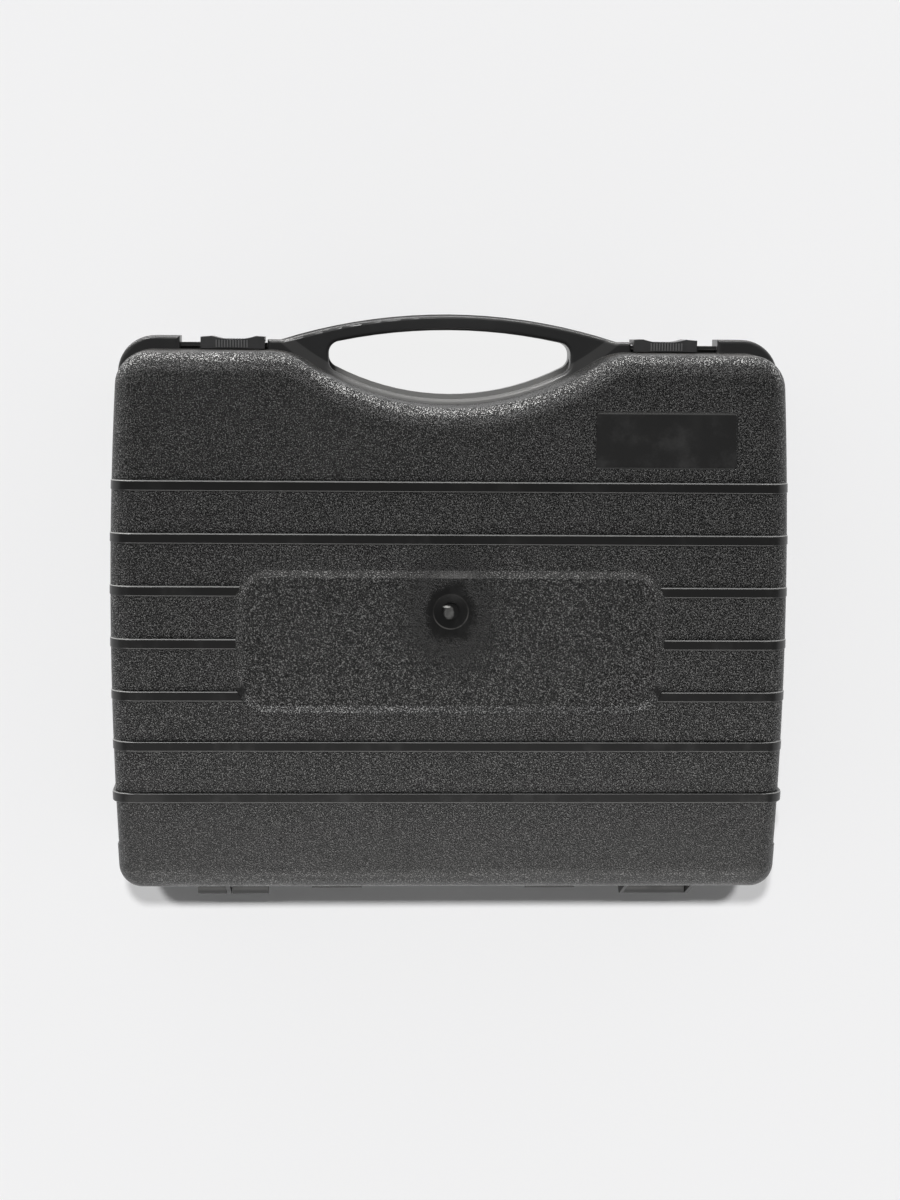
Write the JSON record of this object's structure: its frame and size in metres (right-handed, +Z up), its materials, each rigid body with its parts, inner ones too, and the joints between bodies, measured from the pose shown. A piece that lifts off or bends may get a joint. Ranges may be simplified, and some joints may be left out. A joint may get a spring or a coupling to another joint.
{
  "type": "camping stove in carrying case",
  "caption": "Portable single-burner gas stove packed in a ribbed plastic carrying case with an arched handle, sliding latches and a hinged lid.",
  "frame": {"origin": "centre of the case's footprint, on the surface it lies on", "axes": "+Z up through the lid, +Y towards the hinge edge, -Y towards the handle, +X towards the stove's cartridge bay"},
  "size_m": [0.3638, 0.3212, 0.104],
  "materials": {
    "case_plastic": "dark grey polypropylene with a fine pebble grain",
    "latch_plastic": "dark grey nylon, satin",
    "pin_steel": "zinc-plated steel",
    "stove_enamel": "black baked enamel on pressed steel",
    "galvanised": "galvanised steel sheet",
    "enamel_gloss": "glossy black vitreous enamel",
    "burner_alloy": "cast aluminium, as cast",
    "burner_brass": "turned brass",
    "zinc_cast": "die-cast zinc alloy, as cast",
    "knob_plastic": "black moulded plastic",
    "dial_print": "grey painted plate with plain raised dots",
    "rubber": "black rubber",
    "ceramic": "white glazed ceramic",
    "wire_jacket": "silicone-jacketed lead",
    "aluminium_sheet": "plain aluminium sheet",
    "cap_plastic": "red moulded plastic"
  },
  "bodies": {
    "case_and_stove": {"rear_shell": "case_plastic", "hinge_pin_left": "pin_steel", "hinge_pin_right": "pin_steel", "stove_base": "stove_enamel", "top_plate": "stove_enamel", "partition_plate": "galvanised", "drip_pan": "enamel_gloss", "pan_supports": "enamel_gloss", "cover_hinge": "galvanised", "cover_hinge_pin": "pin_steel", "rubber_feet": "rubber", "foot_screws": "pin_steel", "burner_bracket": "galvanised", "bracket_screws": "pin_steel", "burner_head": "burner_alloy", "burner_cap": "burner_brass", "mixing_tube": "burner_alloy", "electrode_bracket": "galvanised", "electrode_ceramic": "ceramic", "spark_electrode": "pin_steel", "regulator_body": "zinc_cast", "regulator_cover": "zinc_cast", "regulator_screws": "pin_steel", "gas_jet": "burner_brass", "cartridge_guide": "galvanised", "heat_plate": "aluminium_sheet", "dial_plate": "dial_print", "piezo_igniter": "knob_plastic", "ignition_wire": "wire_jacket", "lever_guides": "galvanised", "pusher_guides": "galvanised"},
    "lid": {"front_shell": "case_plastic"},
    "latch_right": {"latch_slider_right": "latch_plastic"},
    "latch_left": {"latch_slider_left": "latch_plastic"},
    "cover": {"cartridge_cover": "stove_enamel"},
    "knob": {"control_knob": "knob_plastic", "valve_stem": "burner_brass", "igniter_cam": "knob_plastic"},
    "plunger": {"igniter_plunger": "knob_plastic"},
    "lever": {"lock_lever": "galvanised", "lever_cap": "cap_plastic"},
    "pusher": {"cartridge_pusher": "galvanised"}
  },
  "joints": [
    {"name": "lid_hinge", "type": "hinge", "parent": "case_and_stove", "child": "lid", "pos_m": [0, 0.1545, 0.052], "axis": [-1, 0, 0], "range_deg": [0, 180]},
    {"name": "latch_right_slide", "type": "slide", "parent": "lid", "child": "latch_right", "axis": [1, 0, 0], "range_m": [0, 0.009]},
    {"name": "latch_left_slide", "type": "slide", "parent": "lid", "child": "latch_left", "axis": [-1, 0, 0], "range_m": [0, 0.009]},
    {"name": "cover_hinge", "type": "hinge", "parent": "case_and_stove", "child": "cover", "pos_m": [0.123, 0.136, 0.0845], "axis": [-1, 0, 0], "range_deg": [0, 80]},
    {"name": "knob_turn", "type": "hinge", "parent": "case_and_stove", "child": "knob", "pos_m": [0.123, -0.1, 0.0455], "axis": [0, -1, 0], "range_deg": [0, 190]},
    {"name": "plunger_slide", "type": "slide", "parent": "case_and_stove", "child": "plunger", "axis": [0, 0, -1], "range_m": [0, 0.005]},
    {"name": "lever_slide", "type": "slide", "parent": "case_and_stove", "child": "lever", "axis": [0, 0, -1], "range_m": [0, 0.018]},
    {"name": "pusher_slide", "type": "slide", "parent": "case_and_stove", "child": "pusher", "axis": [0, -1, 0], "range_m": [0, 0.008]}
  ],
  "couplings": [
    {"joint": "cover_hinge", "follows": "lid_hinge", "ratio": 0.4444},
    {"joint": "plunger_slide", "follows": "knob_turn", "m_per_rad": 0.0015078},
    {"joint": "pusher_slide", "follows": "lever_slide", "ratio": 0.4444}
  ]
}
